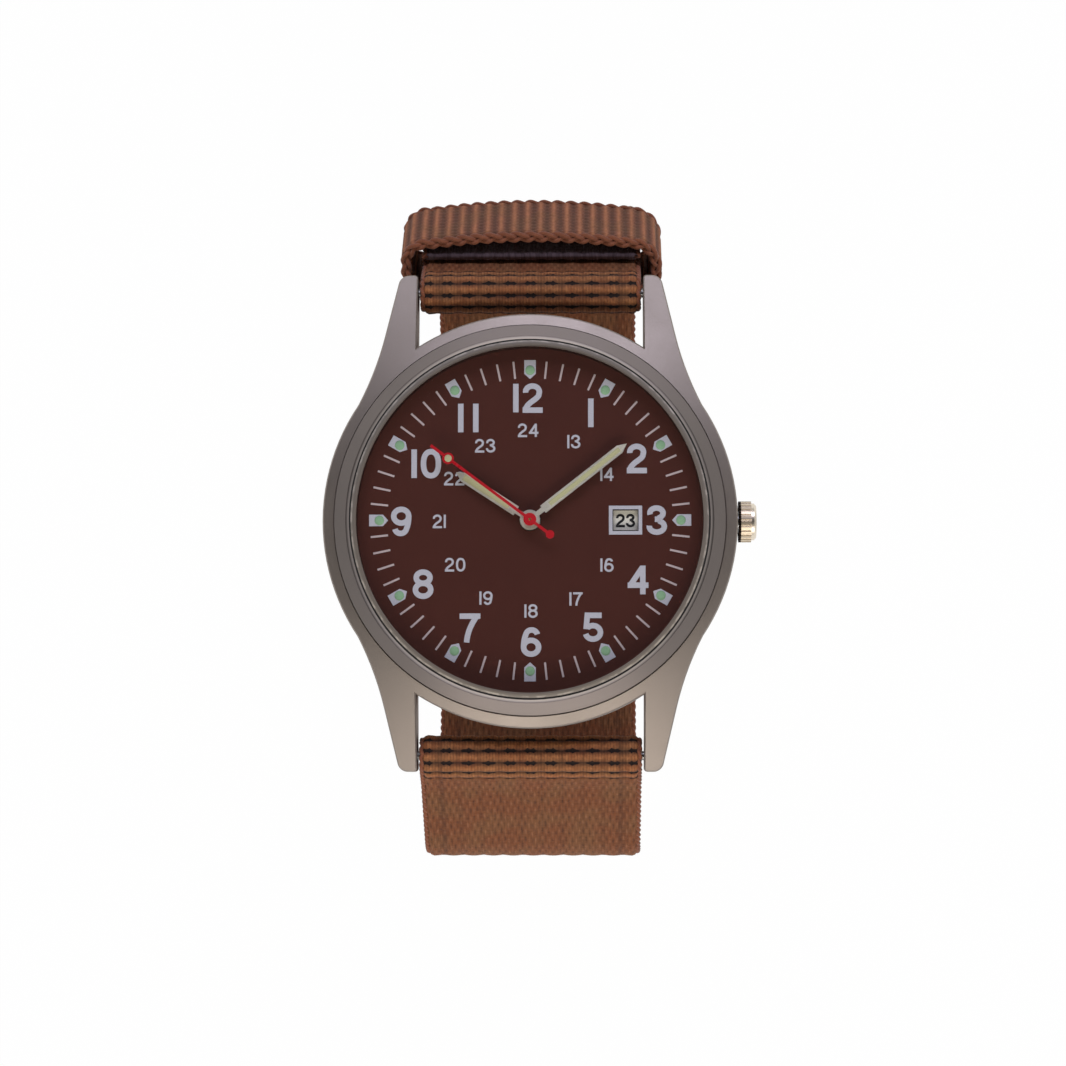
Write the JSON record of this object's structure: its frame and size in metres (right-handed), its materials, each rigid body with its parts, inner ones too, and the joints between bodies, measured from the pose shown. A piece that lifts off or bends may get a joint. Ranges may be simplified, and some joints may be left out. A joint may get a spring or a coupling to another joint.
{
  "type": "field watch",
  "caption": "Field watch with a round case, 24-hour numbered dial, date window and hands, on a woven strap closed by a pin buckle into a wrist loop.",
  "frame": {"origin": "on the dial's axis at the flat outer face of the case back", "axes": "+Z out of the dial, +Y towards 12 o'clock, +X towards the crown at 3 o'clock"},
  "size_m": [0.0387, 0.0616, 0.0522],
  "materials": {
    "blasted_steel": "fine bead-blasted",
    "crystal_glass": "polished",
    "black_gasket": "moulded",
    "dial_paint": "matt",
    "ring_metal": "satin",
    "hand_metal": "satin",
    "lume_paint": "matt",
    "red_paint": "gloss",
    "calendar_paint": "matt",
    "holder_plastic": "moulded",
    "nickel_brass": "nickel plated",
    "wheel_brass": "turned",
    "movement_steel": "ground",
    "board_green": "satin",
    "coil_copper": "enamelled wire",
    "magnet": "ground",
    "gear_plastic": "moulded",
    "crown_steel": "turned",
    "bar_steel": "turned",
    "strap_webbing": "woven",
    "buckle_steel": "fine bead-blasted"
  },
  "bodies": {
    "case": {"mid_case": "blasted_steel", "bezel": "blasted_steel", "crystal": "crystal_glass", "crystal_gasket": "black_gasket", "flange_ring": "ring_metal", "case_back": "blasted_steel", "back_gasket": "black_gasket", "crown_tube": "movement_steel", "dial": "dial_paint", "movement_holder": "holder_plastic", "mainplate": "nickel_brass", "train_bridge": "movement_steel", "circuit_board": "board_green", "quartz_can": "movement_steel", "coil": "coil_copper", "coil_core": "movement_steel", "stator": "movement_steel", "battery": "movement_steel", "battery_clamp": "movement_steel", "movement_screws": "movement_steel", "calendar_plate": "movement_steel", "date_jumper": "movement_steel", "yoke": "movement_steel", "spring_bar_12": "bar_steel", "spring_bar_6": "bar_steel", "bar_spring_12": "bar_steel", "bar_spring_6": "bar_steel", "strap_12": "strap_webbing", "strap_6": "strap_webbing", "fixed_keeper": "strap_webbing", "buckle_frame": "buckle_steel", "buckle_bar": "buckle_steel"},
    "seconds": {"fourth_wheel": "wheel_brass", "second_hand": "red_paint"},
    "minutes": {"cannon_pinion": "wheel_brass", "minute_hand": "hand_metal", "minute_hand_lume": "lume_paint"},
    "hours": {"hour_wheel": "wheel_brass", "hour_hand": "hand_metal", "hour_hand_lume": "lume_paint"},
    "fifth": {"fifth_wheel": "gear_plastic"},
    "rotor": {"rotor": "magnet"},
    "third": {"third_wheel": "gear_plastic"},
    "centre": {"centre_wheel": "wheel_brass"},
    "minute_work": {"minute_wheel": "gear_plastic"},
    "setting": {"setting_wheel": "wheel_brass"},
    "date_drive": {"date_driving_wheel": "gear_plastic"},
    "date": {"date_ring": "calendar_paint"},
    "clutch": {"sliding_pinion": "movement_steel"},
    "crown": {"crown": "crown_steel", "stem": "movement_steel", "crown_gasket": "black_gasket"},
    "lever": {"setting_lever": "movement_steel"},
    "plunger_a": {"plunger_12_crown_side": "bar_steel"},
    "plunger_b": {"plunger_12_far_side": "bar_steel"},
    "plunger_c": {"plunger_6_crown_side": "bar_steel"},
    "plunger_d": {"plunger_6_far_side": "bar_steel"},
    "keeper": {"floating_keeper": "strap_webbing"},
    "tongue": {"buckle_tongue": "buckle_steel"}
  },
  "joints": [
    {"name": "second_hand_turn", "type": "hinge", "parent": "case", "child": "seconds", "pos_m": [0, 0, 0.0035], "axis": [0, 0, -1], "continuous": true},
    {"name": "fifth_wheel_turn", "type": "hinge", "parent": "case", "child": "fifth", "pos_m": [-0.00235, 0.00197, 0.0035], "axis": [0, 0, -1], "continuous": true},
    {"name": "rotor_turn", "type": "hinge", "parent": "case", "child": "rotor", "pos_m": [-0.00342, 0.00426, 0.0035], "axis": [0, 0, -1], "continuous": true},
    {"name": "third_wheel_turn", "type": "hinge", "parent": "case", "child": "third", "pos_m": [0.00288, 0.00105, 0.0035], "axis": [0, 0, -1], "continuous": true},
    {"name": "centre_wheel_turn", "type": "hinge", "parent": "case", "child": "centre", "pos_m": [0, 0, 0.0035], "axis": [0, 0, -1], "continuous": true},
    {"name": "minute_hand_turn", "type": "hinge", "parent": "case", "child": "minutes", "pos_m": [0, 0, 0.0035], "axis": [0, 0, -1], "continuous": true},
    {"name": "minute_wheel_turn", "type": "hinge", "parent": "case", "child": "minute_work", "pos_m": [0.00218, -0.00101, 0.0035], "axis": [0, 0, -1], "continuous": true},
    {"name": "hour_hand_turn", "type": "hinge", "parent": "case", "child": "hours", "pos_m": [0, 0, 0.0035], "axis": [0, 0, -1], "continuous": true},
    {"name": "setting_wheel_turn", "type": "hinge", "parent": "case", "child": "setting", "pos_m": [0.00471, -0.00009, 0.0035], "axis": [0, 0, -1], "continuous": true},
    {"name": "date_driving_wheel_turn", "type": "hinge", "parent": "case", "child": "date_drive", "pos_m": [-0.00499, 0.00288, 0.0035], "axis": [0, 0, -1], "continuous": true},
    {"name": "date_ring_turn", "type": "hinge", "parent": "case", "child": "date", "pos_m": [0, 0, 0.0047], "axis": [0, 0, -1], "continuous": true},
    {"name": "crown_turn", "type": "hinge", "parent": "case", "child": "clutch", "pos_m": [0.0067, 0, 0.0033], "axis": [1, 0, 0], "continuous": true},
    {"name": "crown_pull", "type": "slide", "parent": "clutch", "child": "crown", "axis": [1, 0, 0], "range_m": [0, 0.001]},
    {"name": "setting_lever_turn", "type": "hinge", "parent": "case", "child": "lever", "pos_m": [0.01035, 0.0022, 0.004], "axis": [0, 0, 1], "range_deg": [0, 25.66]},
    {"name": "plunger_12_crown_side_slide", "type": "slide", "parent": "case", "child": "plunger_a", "axis": [-1, 0, 0], "range_m": [0, 0.0009], "stiffness_N_per_m": 250, "springref_m": -0.001},
    {"name": "plunger_12_far_side_slide", "type": "slide", "parent": "case", "child": "plunger_b", "axis": [1, 0, 0], "range_m": [0, 0.0009], "stiffness_N_per_m": 250, "springref_m": -0.001},
    {"name": "plunger_6_crown_side_slide", "type": "slide", "parent": "case", "child": "plunger_c", "axis": [-1, 0, 0], "range_m": [0, 0.0009], "stiffness_N_per_m": 250, "springref_m": -0.001},
    {"name": "plunger_6_far_side_slide", "type": "slide", "parent": "case", "child": "plunger_d", "axis": [1, 0, 0], "range_m": [0, 0.0009], "stiffness_N_per_m": 250, "springref_m": -0.001},
    {"name": "floating_keeper_slide", "type": "slide", "parent": "case", "child": "keeper", "axis": [0, 0.5878, -0.809], "range_m": [0, 0.002]},
    {"name": "tongue_play", "type": "hinge", "parent": "case", "child": "tongue", "pos_m": [0, 0.001, -0.04043], "axis": [1, 0, 0], "range_deg": [0, 6]}
  ],
  "couplings": [
    {"joint": "fifth_wheel_turn", "follows": "second_hand_turn", "ratio": -5},
    {"joint": "rotor_turn", "follows": "second_hand_turn", "ratio": 30},
    {"joint": "third_wheel_turn", "follows": "second_hand_turn", "ratio": -0.125},
    {"joint": "centre_wheel_turn", "follows": "second_hand_turn", "ratio": 0.016667},
    {"joint": "minute_wheel_turn", "follows": "minute_hand_turn", "ratio": -0.33333},
    {"joint": "hour_hand_turn", "follows": "minute_hand_turn", "ratio": 0.083333},
    {"joint": "setting_wheel_turn", "follows": "minute_hand_turn", "ratio": 0.66667},
    {"joint": "date_driving_wheel_turn", "follows": "minute_hand_turn", "ratio": -0.041667},
    {"joint": "setting_lever_turn", "follows": "crown_pull", "rad_per_m": 446.95}
  ]
}
